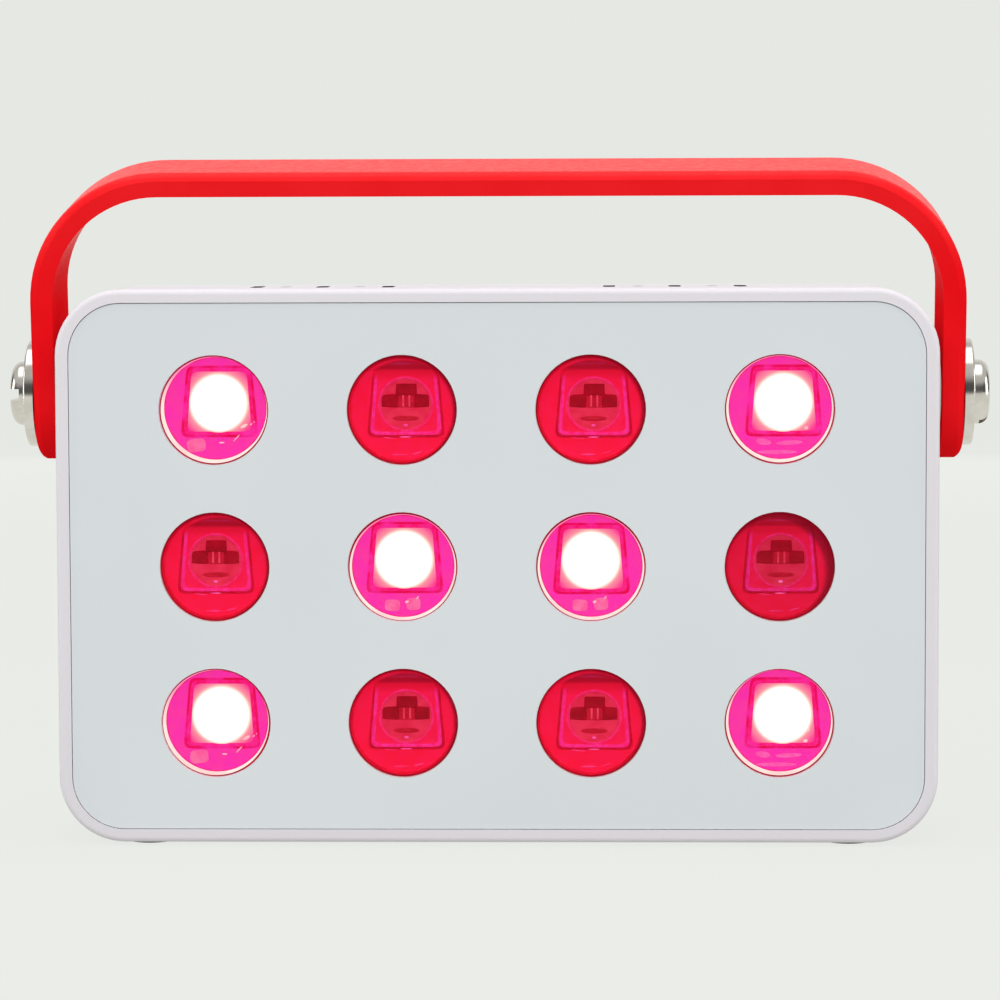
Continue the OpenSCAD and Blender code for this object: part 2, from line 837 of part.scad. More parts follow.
// Two wires from the control board, round the lower edge of the heat sink, to the light board
module led_wires() {
    below = 3.4;               // how far the wires pass below the heat sink
    start_y = wire_inset - sink_h / 2;
    first_run = 1.5;
    depth_1 = control_front + first_run + wire_bend_r;
    run_down = start_y + sink_h / 2 + below - 2 * wire_bend_r;
    run_front = led_board_front + wire_d / 2 - wire_bend_r - (depth_1 + wire_bend_r);
    run_up = below + wire_bend_r / 2;
    color("#c8322c") on_face(control_front) for (x = [-led_wire_x, led_wire_x])
        translate([x, start_y]) rotate([0, 0, -90])
            wire([[first_run, 90, 0], [run_down, 90, 180], [run_front, 90, 0], [run_up, 0, 0]]);
}

// One wire from each fan to the control board
module fan_wires() {
    wire_x = fan_x - fan_side / 2 + wire_inset;
    wire_y = -22;
    run_up = control_front + wire_d / 2 - wire_bend_r - fan_front;
    run_across = wire_x - wire_bend_r - control_w / 2 + wire_inset;
    color("#2a2a2e") both_sides() on_face(fan_front) translate([wire_x, wire_y])
        rotate([0, 0, 180]) wire([[run_up, 90, 0], [run_across, 0, 0]]);
}

// ---- Feet ----------------------------------------------------------------

module rubber_feet() {
    color("#2b2b2d") at_four(foot_x, foot_y) translate([0, 0, foot_h + foot_recess])
        mirror([0, 0, 1]) round_edge_disc(foot_d, foot_h + foot_recess, foot_edge_r);
}

// ---- Handle and pivots ---------------------------------------------------

// Section of the strap: x from its inner face, y across its width.
// The outer edges are softened by an arc that meets each side in a crease.
module strap_section() {
    intersection() {
        translate([0, -strap_w / 2]) square([strap_t, strap_w]);
        union() {
            translate([0, -strap_w / 2]) square([strap_t - strap_edge_drop, strap_w]);
            translate([0, -strap_w / 2 + edge_width]) square([strap_t, strap_w - 2 * edge_width]);
            for (s = [-1, 1])
                translate([strap_t - strap_edge_r, s * (strap_w / 2 - edge_width)])
                    circle(strap_edge_r);
        }
    }
}

// One leg, its rounded end, its bend and half of the bar, in the handle's own
// frame: origin at the pivot, +Z up, the strap's width along Y.
module half_handle() {
    translate([strap_inner, 0, -end_offset])
        linear_extrude(leg_top + end_offset) strap_section();
    translate([bar_half, 0, leg_top]) rotate([90, 0, 0]) rotate_extrude(angle = 90)
        translate([bend_r, 0]) strap_section();
    translate([bar_half, 0, strap_reach]) rotate([0, -90, 0])
        linear_extrude(bar_half) strap_section();
    translate([strap_inner, 0, -end_offset]) rotate([0, 90, 0]) rotate([0, 0, -90])
        rotate_extrude(angle = 180) intersection() {
            rotate([0, 0, 90]) mirror([0, 1]) strap_section();
            square([strap_w, strap_w]);
        }
}

module handle() {
    color("#f0202a") translate([0, 0, pivot_z]) rotate([handle_lean, 0, 0]) both_sides()
        difference() {
            half_handle();
            translate([strap_inner - cut, 0, 0]) rotate([0, 90, 0])
                cylinder(d = shoulder_d + bore_clearance, h = strap_t + 2 * cut);
        }
}

module friction_washers() {
    color("#e8e8e4") both_sides() translate([body_w / 2, 0, pivot_z]) rotate([0, 90, 0])
        ring(friction_d, shoulder_d + bore_clearance, friction_t);
}

module pivot_washers() {
    color("#c9c6bf") both_sides() translate([strap_outer, 0, pivot_z]) rotate([0, 90, 0])
        difference() {
            round_edge_disc(pivot_washer_d, pivot_washer_t, washer_edge_r);
            translate([0, 0, -cut])
                cylinder(d = shoulder_d + bore_clearance, h = pivot_washer_t + 2 * cut);
        }
}

// Pivot screw, head outwards along +Z, with z = 0 under its head
module pivot_screw(slot_angle) {
    shoulder_l = friction_t + strap_t + pivot_washer_t;
    difference() {
        round_edge_disc(pivot_head_d, pivot_head_h, head_edge_r);
        translate([0, 0, pivot_head_h]) rotate([0, 0, slot_angle])
            cube([2 * pivot_head_d, slot_w, 2 * slot_depth], center = true);
    }
    translate([0, 0, -shoulder_l]) cylinder(d = shoulder_d, h = shoulder_l);
    translate([0, 0, -shoulder_l - insert_l]) cylinder(d = thread_d, h = insert_l);
}

module pivot_screws() {
    head_x = strap_outer + pivot_washer_t;
    color("#cfccc4") translate([0, 0, pivot_z]) {
        translate([head_x, 0, 0]) rotate([0, 90, 0]) pivot_screw(right_slot_angle + 90);
        translate([-head_x, 0, 0]) rotate([0, -90, 0]) pivot_screw(90);
    }
}

module threaded_inserts() {
    color("#c9a23c") both_sides()
        translate([body_w / 2 - insert_sink - insert_l, 0, pivot_z]) rotate([0, 90, 0])
            ring(insert_d, thread_d + slip, insert_l);
}

housing();
front_plate();
plate_tape();
lenses_red();
lenses_infrared();
lens_holder();
led_packages_red();
led_packages_infrared();
led_chips_red();
led_chips_infrared();
led_board();
thermal_pad();
heat_sink();
led_board_screws();
heat_sink_screws();
rear_cover();
rear_cover_screws();
left_fan_frame();
left_fan_rotor();
right_fan_frame();
right_fan_rotor();
fan_screws();
control_board();
control_board_screws();
driver_coils();
driver_capacitors();
driver_chips();
button_switches();
power_socket();
power_button();
timer_button();
led_wires();
fan_wires();
rubber_feet();
handle();
friction_washers();
pivot_washers();
pivot_screws();
threaded_inserts();
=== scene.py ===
"""Looks of the portable red-light panel lamp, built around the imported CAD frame.

Lengths are in metres, or in mm where a comment or a docstring says so. +Z is up, and the
lamp's front faces -Y.
"""

import json
import math

import bmesh
import bpy
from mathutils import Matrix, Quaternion, Vector


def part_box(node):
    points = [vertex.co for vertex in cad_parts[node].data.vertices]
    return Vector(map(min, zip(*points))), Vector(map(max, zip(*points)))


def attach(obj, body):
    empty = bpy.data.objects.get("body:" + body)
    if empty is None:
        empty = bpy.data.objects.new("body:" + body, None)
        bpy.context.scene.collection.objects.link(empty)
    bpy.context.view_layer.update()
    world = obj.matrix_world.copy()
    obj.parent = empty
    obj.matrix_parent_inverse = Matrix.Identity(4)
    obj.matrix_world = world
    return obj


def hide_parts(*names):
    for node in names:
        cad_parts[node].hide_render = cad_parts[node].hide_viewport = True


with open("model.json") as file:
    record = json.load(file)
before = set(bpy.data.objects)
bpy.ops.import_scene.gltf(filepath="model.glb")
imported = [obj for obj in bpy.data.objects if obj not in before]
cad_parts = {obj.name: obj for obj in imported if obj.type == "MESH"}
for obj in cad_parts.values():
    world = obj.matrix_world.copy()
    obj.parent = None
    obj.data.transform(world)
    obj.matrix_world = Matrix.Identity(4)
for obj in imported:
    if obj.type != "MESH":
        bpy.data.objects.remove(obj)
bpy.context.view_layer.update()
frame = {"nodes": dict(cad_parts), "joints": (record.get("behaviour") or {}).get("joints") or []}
NODES = frame["nodes"]
JOINTS = {joint["name"]: joint for joint in frame["joints"]}

MM = 0.001

# ---- Places, all taken from the frame -------------------------------------------------

PLATE_LOW, PLATE_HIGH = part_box("front_plate")
FACE_X = (PLATE_LOW.x + PLATE_HIGH.x) / 2
FACE_Z = (PLATE_LOW.z + PLATE_HIGH.z) / 2
RING_FRONT = -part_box("housing")[0].y
PIVOT_Z = JOINTS["handle_swing"]["pos_m"][2]
LENS_LOW, LENS_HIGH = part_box("lenses_red")
LENS_FRONT = -LENS_LOW.y

# The window grid: 4 columns and 3 rows, worked out from the box of the red lenses
COLUMNS, ROWS = 4, 3
FLANGE_R = 13.3 * MM  # radius of a lens with its flange
PITCH_X = (LENS_HIGH.x - LENS_LOW.x - 2 * FLANGE_R) / (COLUMNS - 1)
PITCH_Z = (LENS_HIGH.z - LENS_LOW.z - 2 * FLANGE_R) / (ROWS - 1)
RED_WINDOWS = {(0, 0), (0, 3), (1, 1), (1, 2), (2, 0), (2, 3)}


def window_centre(row, column):
    x = FACE_X + (column - (COLUMNS - 1) / 2) * PITCH_X
    z = FACE_Z + ((ROWS - 1) / 2 - row) * PITCH_Z
    return x, z


# ---- Colour ---------------------------------------------------------------------------


def linear(value):
    value /= 255
    return value / 12.92 if value <= 0.04045 else ((value + 0.055) / 1.055) ** 2.4


def rgb(red, green, blue):
    """A display colour of 0 to 255 as a linear colour with alpha."""
    return (linear(red), linear(green), linear(blue), 1.0)


# ---- Node building ----------------------------------------------------------------------

NOISE_ROUGHNESS = 0.55


class Shader:
    """A Principled material with short calls for the node patterns used below."""

    def __init__(self, name, roughness=0.5, metallic=0.0, coat=0.0, specular=0.5):
        self.material = bpy.data.materials.new(name)
        self.material.use_nodes = True
        self.tree = self.material.node_tree
        self.tree.nodes.clear()
        out = self.node("ShaderNodeOutputMaterial")
        self.bsdf = self.node("ShaderNodeBsdfPrincipled")
        self.tree.links.new(self.bsdf.outputs[0], out.inputs["Surface"])
        self.set("Roughness", roughness)
        self.set("Metallic", metallic)
        self.set("Coat Weight", coat)
        self.set("Specular IOR Level", specular)
        where = self.node("ShaderNodeTexCoord")
        self.mm = self.times(where.outputs["Object"], (1 / MM, 1 / MM, 1 / MM))

    def node(self, kind, **settings):
        made = self.tree.nodes.new(kind)
        for key, value in settings.items():
            setattr(made, key, value)
        return made

    def feed(self, socket, source):
        """Links a node output into a socket, or sets the socket's plain value."""
        if isinstance(source, bpy.types.NodeSocket):
            self.tree.links.new(source, socket)
        else:
            socket.default_value = source

    def set(self, name, source):
        self.feed(self.bsdf.inputs[name], source)

    def math(self, operation, first, second=0.0):
        made = self.node("ShaderNodeMath", operation=operation)
        self.feed(made.inputs[0], first)
        self.feed(made.inputs[1], second)
        return made.outputs[0]

    def times(self, vector, factors):
        """A vector, multiplied axis by axis."""
        made = self.node("ShaderNodeVectorMath", operation="MULTIPLY")
        self.feed(made.inputs[0], vector)
        self.feed(made.inputs[1], factors)
        return made.outputs[0]

    def split(self, vector):
        made = self.node("ShaderNodeSeparateXYZ")
        self.feed(made.inputs[0], vector)
        return made.outputs

    def noise(self, per_mm, detail=3.0, stretch=(1, 1, 1)):
        """Noise of so many waves a millimetre, stretched along the axes."""
        made = self.node("ShaderNodeTexNoise")
        self.feed(made.inputs["Vector"], self.times(self.mm, stretch))
        made.inputs["Scale"].default_value = per_mm
        made.inputs["Detail"].default_value = detail
        made.inputs["Roughness"].default_value = NOISE_ROUGHNESS
        return made.outputs["Fac"]

    def blend(self, factor, first, second):
        made = self.node("ShaderNodeMix", data_type="RGBA")
        self.feed(made.inputs["Factor"], factor)
        self.feed(made.inputs["A"], first)
        self.feed(made.inputs["B"], second)
        return made.outputs["Result"]

    def ramp(self, factor, *stops):
        """A colour ramp from (place, colour) pairs."""
        made = self.node("ShaderNodeValToRGB")
        self.feed(made.inputs[0], factor)
        elements = made.color_ramp.elements
        while len(elements) < len(stops):
            elements.new(0.5)
        for element, (place, colour) in zip(elements, stops):
            element.position = place
            element.color = colour
        return made.outputs[0]

    def span(self, value, low, high, to_low=0.0, to_high=1.0, smooth=True):
        """Maps low..high to to_low..to_high, held at both ends."""
        shape = "SMOOTHSTEP" if smooth else "LINEAR"
        made = self.node("ShaderNodeMapRange", interpolation_type=shape)
        for socket, source in zip(made.inputs, (value, low, high, to_low, to_high)):
            self.feed(socket, source)
        return made.outputs[0]

    def bump(self, height, depth_mm, strength):
        made = self.node("ShaderNodeBump")
        made.inputs["Strength"].default_value = strength
        made.inputs["Distance"].default_value = depth_mm * MM
        self.feed(made.inputs["Height"], height)
        self.set("Normal", made.outputs[0])

    def glow(self, colour, strength):
        self.set("Emission Color", colour)
        self.set("Emission Strength", strength)


# ---- Materials of the solid parts -----------------------------------------------------

PLATE_SHADE_SPAN = 60  # mm above and below the plate's centre over which its painted shade changes, darker towards the top
SHEEN_NONE, SHEEN_FULL = 20.0, 45.0  # heights above the pivots in mm, for the handle's sheen
ROUGH_FULL, ROUGH_NONE = 24.0, 42.0  # heights for its extra roughness
TURNED_RINGS = 7.0  # noise waves a millimetre
KNURLS = 48.0


def shell_white():
    """Satin moulded white with a faint lilac cast and a very fine grain."""
    s = Shader("shell_white", specular=0.25)
    cast = s.noise(0.03, detail=2)
    s.set("Base Color", s.blend(cast, rgb(230, 225, 231), rgb(234, 230, 235)))
    s.set("Roughness", s.span(s.noise(0.4), 0.3, 0.7, 0.4, 0.48))
    s.bump(s.noise(3.0, detail=2), 0.02, 0.25)
    return s.material


def face_plate():
    """Matt light grey plate with a fine grain, and painted shade that darkens it towards the top.
    """
    s = Shader("face_plate", specular=0.35)
    height = s.split(s.mm)[2]
    # Painted shade: lighter at the bottom of the plate, darker at its top
    base = s.ramp(
        s.span(height, FACE_Z / MM - PLATE_SHADE_SPAN, FACE_Z / MM + PLATE_SHADE_SPAN, smooth=False),
        (0.0, rgb(229, 234, 237)),
        (1.0, rgb(223, 227, 231)),
    )
    cloud = s.span(s.noise(0.02, detail=1), 0.35, 0.65, 0.0, 0.35)
    s.set("Base Color", s.blend(cloud, base, rgb(220, 227, 229)))
    s.set("Roughness", s.span(s.noise(0.8), 0.3, 0.7, 0.5, 0.6))
    s.bump(s.noise(2.2, detail=2), 0.02, 0.3)
    return s.material


def handle_red():
    """Saturated red moulded strap with a satin skin, whose sheen fades towards the pivots."""
    s = Shader("handle_red")
    height = s.math("SUBTRACT", s.split(s.mm)[2], PIVOT_Z / MM)
    s.set("Specular IOR Level", s.span(height, SHEEN_NONE, SHEEN_FULL, 0.0, 0.13))
    tone = s.span(s.noise(0.05, detail=2), 0.35, 0.65)
    s.set("Base Color", s.blend(tone, rgb(243, 18, 26), rgb(247, 23, 31)))
    worn = s.span(height, ROUGH_FULL, ROUGH_NONE, 0.5, 0.0)
    s.set("Roughness", s.math("ADD", s.span(s.noise(0.6), 0.3, 0.7, 0.3, 0.4), worn))
    s.bump(s.noise(2.6, detail=3), 0.03, 0.25)
    return s.material


def nickel():
    """Nickel-plated steel, turned in rings around the pivot."""
    s = Shader("nickel", metallic=1.0)
    parts = s.split(s.mm)
    off_axis = s.math("SUBTRACT", parts[2], PIVOT_Z / MM)
    squares = s.math("ADD", s.math("POWER", parts[1], 2.0), s.math("POWER", off_axis, 2.0))
    ring = s.node("ShaderNodeTexNoise", noise_dimensions="1D")
    s.feed(ring.inputs["W"], s.math("SQRT", squares))
    ring.inputs["Scale"].default_value = TURNED_RINGS
    ring.inputs["Detail"].default_value = 3.0
    tone = s.span(s.noise(0.3), 0.3, 0.7)
    s.set("Base Color", s.blend(tone, rgb(214, 208, 200), rgb(226, 222, 214)))
    s.set("Roughness", s.span(ring.outputs["Fac"], 0.3, 0.7, 0.12, 0.22))
    s.bump(ring.outputs["Fac"], 0.02, 0.35)
    return s.material


def plated_screw():
    """Zinc-plated steel, a little blotchy."""
    s = Shader("plated_screw", metallic=1.0)
    s.set("Base Color", s.blend(s.noise(1.2), rgb(142, 141, 137), rgb(176, 175, 171)))
    s.set("Roughness", s.span(s.noise(2.0), 0.3, 0.7, 0.28, 0.42))
    s.bump(s.noise(4.0), 0.01, 0.3)
    return s.material


def bare_aluminium():
    """Extruded aluminium with drawn lines along the fins."""
    s = Shader("bare_aluminium", metallic=1.0)
    lines = s.noise(5.0, detail=2, stretch=(1, 1, 0.03))
    s.set("Base Color", s.blend(lines, rgb(186, 189, 192), rgb(212, 214, 217)))
    s.set("Roughness", s.span(lines, 0.3, 0.7, 0.3, 0.48))
    s.bump(lines, 0.01, 0.5)
    return s.material


def brass():
    """Brass with a straight knurl around the pivot axis."""
    s = Shader("brass", metallic=1.0)
    parts = s.split(s.mm)
    turn = s.math("ARCTAN2", parts[1], s.math("SUBTRACT", parts[2], PIVOT_Z / MM))
    knurl = s.math("SINE", s.math("MULTIPLY", turn, KNURLS))
    s.set("Base Color", s.blend(s.noise(0.8), rgb(196, 158, 78), rgb(216, 182, 104)))
    s.set("Roughness", s.span(s.noise(1.5), 0.3, 0.7, 0.28, 0.4))
    s.bump(knurl, 0.08, 0.6)
    return s.material


def moulded(name, dark, light, roughness=0.5, grain=2.5, depth=0.02, specular=0.5):
    """Plain moulded plastic or rubber: two close tones, an uneven sheen and a fine grain."""
    s = Shader(name, specular=specular)
    s.set("Base Color", s.blend(s.span(s.noise(0.25), 0.3, 0.7), dark, light))
    s.set("Roughness", s.span(s.noise(0.9), 0.3, 0.7, roughness - 0.06, roughness + 0.06))
    s.bump(s.noise(grain, detail=3), depth, 0.4)
    return s.material


def circuit_board(name, mask, track):
    """Solder mask over straight copper tracks that stand a little proud."""
    s = Shader(name, roughness=0.35, coat=0.3)
    bricks = s.node("ShaderNodeTexBrick", offset=0.37, squash=1.6, squash_frequency=3)
    parts = s.split(s.mm)
    flat = s.node("ShaderNodeCombineXYZ")
    s.feed(flat.inputs[0], parts[0])
    s.feed(flat.inputs[1], parts[2])
    s.feed(bricks.inputs["Vector"], flat.outputs[0])
    bricks.inputs["Scale"].default_value = 0.16
    bricks.inputs["Mortar Size"].default_value = 0.05
    bricks.inputs["Mortar Smooth"].default_value = 0.1
    tracks = bricks.outputs["Fac"]
    s.set("Base Color", s.blend(tracks, mask, track))
    s.bump(tracks, 0.035, 0.6)
    return s.material


def ribbed(name, colour, highlight, axis, per_mm):
    """Windings or ridges across one axis."""
    s = Shader(name, roughness=0.4)
    wave = s.math("SINE", s.math("MULTIPLY", s.split(s.mm)[axis], per_mm * 2 * math.pi))
    s.set("Base Color", s.blend(s.span(wave, -1, 1), colour, highlight))
    s.bump(wave, 0.05, 0.5)
    return s.material


# ---- Materials of the lights ------------------------------------------------------------

WINDOW_UV = "window"
PACKAGE_UV = "package"
FACE_LIGHT = 1.0  # own light of a surface that glows as brightly as white paper beside it
UV_SPAN = 32.0  # millimetres across each map


def place_on(s, uv_map):
    """Place in mm as (right, up), from the centre of the window or of its package."""
    uv = s.node("ShaderNodeUVMap", uv_map=uv_map)
    parts = s.split(uv.outputs[0])
    return [s.math("MULTIPLY", s.math("SUBTRACT", parts[i], 0.5), UV_SPAN) for i in (0, 1)]


def distance_from(s, place, right, up):
    across = s.math("SUBTRACT", place[0], right)
    along = s.math("SUBTRACT", place[1], up)
    squares = (s.math("MULTIPLY", across, across), s.math("MULTIPLY", along, along))
    return s.math("SQRT", s.math("ADD", *squares))


def light_surface(name, colour, other, own=0.5, patch=0.35, shade=None):
    """Coloured surface under a lens: two tones in soft patches, with a share of its own light, a
    painted glow wherever it is no emitter.
    """
    s = Shader(name, roughness=0.45, specular=0.05)
    tone = s.blend(s.span(s.noise(patch, detail=4), 0.35, 0.65), colour, other)
    if shade is not None:
        tone = shade(s, tone)
    s.set("Base Color", s.blend(own, tone, (0, 0, 0, 1)))
    s.glow(tone, own * FACE_LIGHT)
    s.bump(s.noise(1.1, detail=3), 0.06, 0.3)
    return s.material


def lens_clear():
    """Clear lens: almost invisible, with a soft reflection and faint moulding waves."""
    s = Shader("lens_clear", roughness=0.06, specular=0.6)
    s.set("Base Color", rgb(255, 70, 100))
    s.set("Alpha", 0.05)
    s.bump(s.noise(0.25, detail=2), 0.12, 0.25)
    return s.material


# ---- Mesh building ----------------------------------------------------------------------

TURNS = 96
PIECE_SHARP = 40  # degrees between faces, from which an edge of a built piece is sharp


class Piece:
    """A mesh built in mm around a window: u right, v up, w towards the front from mid-depth."""

    def __init__(self, name, materials):
        self.name = name
        self.mesh = bmesh.new()
        self.uv = self.mesh.loops.layers.uv.new(WINDOW_UV)
        self.package_uv = self.mesh.loops.layers.uv.new(PACKAGE_UV)
        self.local = self.mesh.verts.layers.float_vector.new("local")
        self.slots = list(materials)
        self.centre = (FACE_X, FACE_Z)
        self.shift = (0.0, 0.0)

    def at(self, centre, shift=(0.0, 0.0)):
        self.centre, self.shift = centre, shift

    def vertex(self, u, v, w):
        made = self.mesh.verts.new((self.centre[0] + u * MM, -w * MM, self.centre[1] + v * MM))
        made[self.local] = (u, v, w)
        return made

    def face(self, corners, material):
        made = self.mesh.faces.new(corners)
        made.smooth = True
        made.material_index = self.slots.index(material)
        for loop in made.loops:
            u, v, _ = loop.vert[self.local]
            loop[self.uv].uv = (u / UV_SPAN + 0.5, v / UV_SPAN + 0.5)
            u, v = u - self.shift[0], v - self.shift[1]
            loop[self.package_uv].uv = (u / UV_SPAN + 0.5, v / UV_SPAN + 0.5)
        return made

    def loop(self, points):
        """A closed row of vertices from (u, v, w) points."""
        return [self.vertex(*point) for point in points]

    def band(self, outer, inner, material):
        """Faces between two closed rows with the same number of vertices."""
        count = len(outer)
        for i in range(count):
            j = (i + 1) % count
            self.face((outer[i], outer[j], inner[j], inner[i]), material)

    def fan(self, row, centre, material):
        """Closes a row with triangles to one point."""
        tip = self.vertex(*centre)
        for i in range(len(row)):
            self.face((row[i], row[(i + 1) % len(row)], tip), material)

    def stack(self, rows, materials, closed_top=None, closed_bottom=None):
        """Joins rows of points one after the other, each band in its material."""
        made = [self.loop(row) for row in rows]
        for i, material in enumerate(materials):
            self.band(made[i], made[i + 1], material)
        if closed_top is not None:
            self.fan(made[-1], closed_top, materials[-1])
        if closed_bottom is not None:
            self.fan(list(reversed(made[0])), closed_bottom, materials[0])

    def finish(self, body="lamp"):
        bmesh.ops.recalc_face_normals(self.mesh, faces=self.mesh.faces)
        data = bpy.data.meshes.new(self.name)
        self.mesh.to_mesh(data)
        self.mesh.free()
        data.set_sharp_from_angle(angle=math.radians(PIECE_SHARP))
        for material in self.slots:
            data.materials.append(material)
        made = bpy.data.objects.new(self.name, data)
        bpy.context.scene.collection.objects.link(made)
        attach(made, body)
        return made


def circle(radius, w, centre=(0.0, 0.0)):
    """Points of a circle, going anticlockwise as seen from the front."""
    step = 2 * math.pi / TURNS
    return [
        (centre[0] + radius * math.cos(i * step), centre[1] + radius * math.sin(i * step), w)
        for i in range(TURNS)
    ]


def superellipse_reach(across, along, power):
    """Distance to a unit superellipse in a direction: power 2 is round, more is squarer."""
    return (abs(across) ** power + abs(along) ** power) ** (-1 / power)


def package_outline(grow, w, centre, half_w, half_h, taper):
    """Rounded square that narrows towards its top, grown outwards by a distance."""
    points = []
    for i in range(TURNS):
        angle = 2 * math.pi * i / TURNS
        across, along = math.cos(angle), math.sin(angle)
        reach = superellipse_reach(across, along, PACKAGE_SQUARENESS)
        u = reach * across * (half_w + grow)
        v = reach * along * (half_h + grow)
        u *= 1 - taper * v / half_h
        points.append((centre[0] + u, centre[1] + v, w))
    return points


# What a window shows, in mm. The depth levels count from mid-depth towards the front
GLASS_R = 12.45
DOME_RISE = 0.9
GLASS_TOP = LENS_FRONT / MM
GLASS_EDGE = GLASS_TOP - DOME_RISE
RIM_TOP = GLASS_EDGE - 0.15
VIEW = GLASS_TOP - 2.7
OUTLINE_R, RIM_R, INNER_LINE_R, FIELD_R = 12.4, 12.1, 11.68, 11.45
PACKAGE = {"centre": (0.8, 1.75), "half_w": 7.2, "half_h": 7.2, "taper": 0.08}
PACKAGE_SQUARENESS = 13.0
CUP_CENTRE = (0.78, 1.2)
CUP_R = 6.1
CUP_FLOOR_R = 3.2
GLARE_CENTRE = (0.7, 1.45)
GLARE_R = 6.6
GLARE_RISE = 0.35


def lens_glass(name, windows, clear):
    """The clear front of each lens: a shallow dome on a neck."""
    piece = Piece(name, [clear])
    rings = 7
    sphere_r = (GLASS_R**2 + DOME_RISE**2) / (2 * DOME_RISE)
    for row, column in windows:
        piece.at(window_centre(row, column))
        rows = [circle(GLASS_R, RIM_TOP)]
        for i in range(rings):
            radius = GLASS_R * (1 - i / rings)
            rise = math.sqrt(sphere_r**2 - radius**2) - (sphere_r - DOME_RISE)
            rows.append(circle(radius, GLASS_EDGE + rise))
        piece.stack(rows, [clear] * rings, closed_top=(0, 0, GLASS_TOP))
    return piece.finish()


def light_view(piece, mats, shift, rim_shifts):
    """What shows through one lens: rim, field, package with raised edges, and its round cup."""
    du, dv = shift
    package = dict(PACKAGE, centre=(PACKAGE["centre"][0] + du, PACKAGE["centre"][1] + dv))
    lit = "glare" in mats
    outer, inner = rim_shifts
    rows = [
        circle(OUTLINE_R, RIM_TOP - 0.3),
        circle(RIM_R, RIM_TOP - 0.35, outer),
        circle(INNER_LINE_R, VIEW - 0.1, inner),
        circle(FIELD_R, VIEW - 0.25, inner),
        package_outline(0.95, VIEW - 0.25, **package),
        package_outline(0.4, VIEW - 0.2, **package),
        package_outline(0.22, VIEW + 0.3, **package),
        package_outline(-0.1, VIEW + 0.3, **package),
        package_outline(-0.4, VIEW + 0.05, **package),
    ]
    bands = [mats["outline"], mats["rim"], mats["inner_line"], mats["field"], mats["wall_shade"],
             mats["line"], mats["line"], mats["line"]]
    if lit:
        centre = (GLARE_CENTRE[0] + du, GLARE_CENTRE[1] + dv)
        rows.append(circle(GLARE_R + 0.12, VIEW + 0.2, centre))
        bands.append(mats["floor"])
        rings = 8
        for i in range(rings):
            part = i / rings
            lift = 0.3 + GLARE_RISE * math.sin(part * math.pi / 2)
            rows.append(circle(GLARE_R * (1 - part), VIEW + lift, centre))
            bands.append(mats["glare"])
        piece.stack(rows, bands, closed_top=(centre[0], centre[1], VIEW + 0.3 + GLARE_RISE))
    else:
        cup = (CUP_CENTRE[0] + du, CUP_CENTRE[1] + dv)
        rows += [
            circle(CUP_R + 0.2, VIEW + 0.05, cup),
            circle(CUP_R + 0.08, VIEW + 0.2, cup),
            circle(CUP_R - 0.14, VIEW + 0.2, cup),
            circle(CUP_R - 0.3, VIEW, cup),
            circle(CUP_R - 0.9, VIEW - 0.3, cup),
            circle(CUP_FLOOR_R, VIEW - 0.45, cup),
        ]
        bands += [mats["floor"], mats["cup_line"], mats["cup_line"], mats["cup_line"],
                  mats["cup"], mats["cup"]]
        piece.stack(rows, bands, closed_top=(cup[0], cup[1], VIEW - 0.5))
        dark_chips(piece, mats, du, dv)


def block(piece, material, left, right, low, high, base, top, edge):
    """A raised pad with bevelled edges."""

    def corners(inset, w):
        return [(left + inset, low + inset, w), (right - inset, low + inset, w),
                (right - inset, high - inset, w), (left + inset, high - inset, w)]

    levels = ((0, base), (0, top - edge), (edge, top))
    made = [piece.loop(corners(inset, w)) for inset, w in levels]
    piece.band(made[0], made[1], material)
    piece.band(made[1], made[2], material)
    piece.face(made[2], material)


MOUND_SIDES = 24
MOUND_ROWS = ((1.0, 0.0), (0.7, 0.7))  # share of the size, and of the rise


def mound(piece, material, centre, size, base, rise, turn=0.0, power=2.0):
    """A low oval mound, or a squarer one at a higher power."""
    rows = []
    for reach, lift in MOUND_ROWS:
        row = []
        for i in range(MOUND_SIDES):
            angle = 2 * math.pi * i / MOUND_SIDES
            across, along = math.cos(angle), math.sin(angle)
            scale = reach * superellipse_reach(across, along, power)
            across, along = scale * size[0] * across, scale * size[1] * along
            row.append((centre[0] + across * math.cos(turn) - along * math.sin(turn),
                        centre[1] + across * math.sin(turn) + along * math.cos(turn),
                        base + lift * rise))
        rows.append(row)
    piece.stack(rows, [material], closed_top=(centre[0], centre[1], base + rise))


WIRE_R = 0.2
WIRE_ARCH = 0.15
WIRE_STEPS = 10
WIRE_SIDES = 8


def bond_wire(piece, material, start, end):
    """A thin wire that arches from one pad to another."""
    rows = []
    for i in range(WIRE_STEPS + 1):
        t = i / WIRE_STEPS
        middle = [start[k] + (end[k] - start[k]) * t for k in range(3)]
        middle[2] += WIRE_ARCH * math.sin(math.pi * t)
        climb = WIRE_ARCH * math.pi * math.cos(math.pi * t)
        along = Vector((end[0] - start[0], end[1] - start[1], climb)).normalized()
        side = along.cross(Vector((0, 0, 1))).normalized()
        up = side.cross(along)
        row = []
        for k in range(WIRE_SIDES):
            angle = 2 * math.pi * k / WIRE_SIDES
            offset = side * (WIRE_R * math.cos(angle)) + up * (WIRE_R * math.sin(angle))
            row.append((middle[0] + offset.x, middle[1] + offset.y, middle[2] + offset.z))
        rows.append(row)
    piece.stack(rows, [material] * WIRE_STEPS, closed_top=end, closed_bottom=start)


